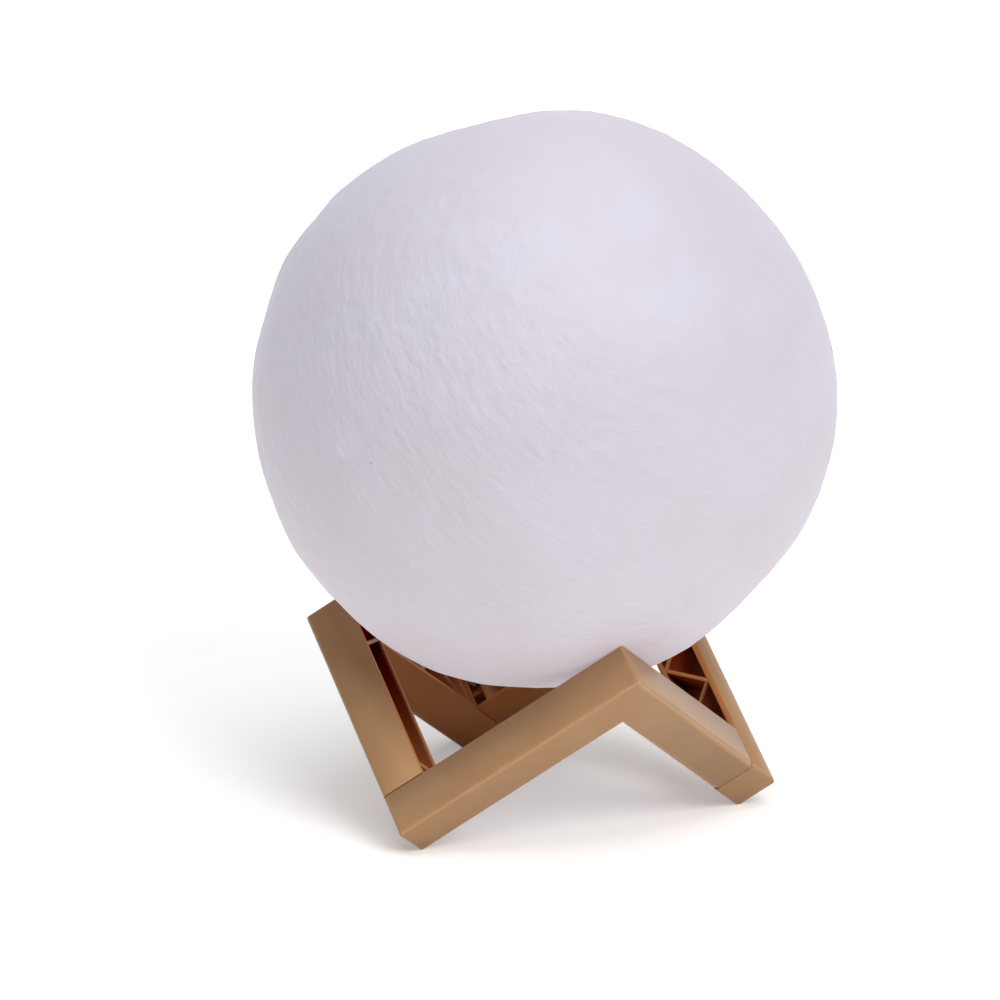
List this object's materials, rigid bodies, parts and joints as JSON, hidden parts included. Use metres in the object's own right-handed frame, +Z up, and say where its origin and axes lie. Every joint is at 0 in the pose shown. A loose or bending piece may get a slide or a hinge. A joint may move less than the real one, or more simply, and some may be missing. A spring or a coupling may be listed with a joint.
{
  "type": "globe table lamp",
  "caption": "Table lamp with a printed moon globe that rests loose on the three peaks of a stand of plugged, V-shaped moulded legs.",
  "frame": {"origin": "on the surface the lamp stands on, under the middle of the stand and the globe", "axes": "+Z up through the middle of the globe, -Y towards the peak of the front leg"},
  "size_m": [0.151, 0.151, 0.1864],
  "materials": {
    "tan_plastic": "satin moulded plastic, tan brown",
    "printed_globe": "matt printed plastic, white with a lavender cast",
    "white_plastic": "satin moulded plastic",
    "button_plastic": "satin moulded plastic",
    "black_plastic": "matt moulded plastic",
    "light_pipe": "milky clear plastic",
    "ring_metal": "bright plated ring",
    "screw_steel": "plain steel",
    "socket_steel": "pressed sheet steel",
    "board_green": "lacquered circuit board",
    "foam": "closed cell foam tape",
    "cell_foil": "laminated foil pouch",
    "wire": "insulated wire",
    "led_board_white": "white lacquered board",
    "led_yellow": "phosphor faced light chip"
  },
  "bodies": {
    "stand": {"leg_front": "tan_plastic", "leg_right": "tan_plastic", "leg_left": "tan_plastic"},
    "globe": {"globe_shell": "printed_globe", "collar_ring": "white_plastic", "base_cap": "white_plastic", "touch_ring": "ring_metal", "touch_lead": "wire", "cap_screws": "screw_steel", "switch_body": "black_plastic", "charge_socket": "socket_steel", "socket_tongue": "black_plastic", "charge_light": "light_pipe", "control_board": "board_green", "board_parts": "black_plastic", "board_screws": "screw_steel", "housing_cup": "white_plastic", "battery_pad": "foam", "battery_cell": "cell_foil", "battery_leads": "wire", "lamp_post": "white_plastic", "led_board": "led_board_white", "led_chips": "led_yellow", "led_screws": "screw_steel", "led_leads": "wire"},
    "button": {"power_button": "button_plastic", "switch_plunger": "black_plastic"}
  },
  "joints": [
    {"name": "globe_lift", "type": "slide", "parent": "stand", "child": "globe", "axis": [0, 0, 1], "range_m": [0, 0.16]},
    {"name": "button_press", "type": "slide", "parent": "globe", "child": "button", "axis": [0, 0, 1], "range_m": [0, 0.001], "stiffness_N_per_m": 1200}
  ]
}
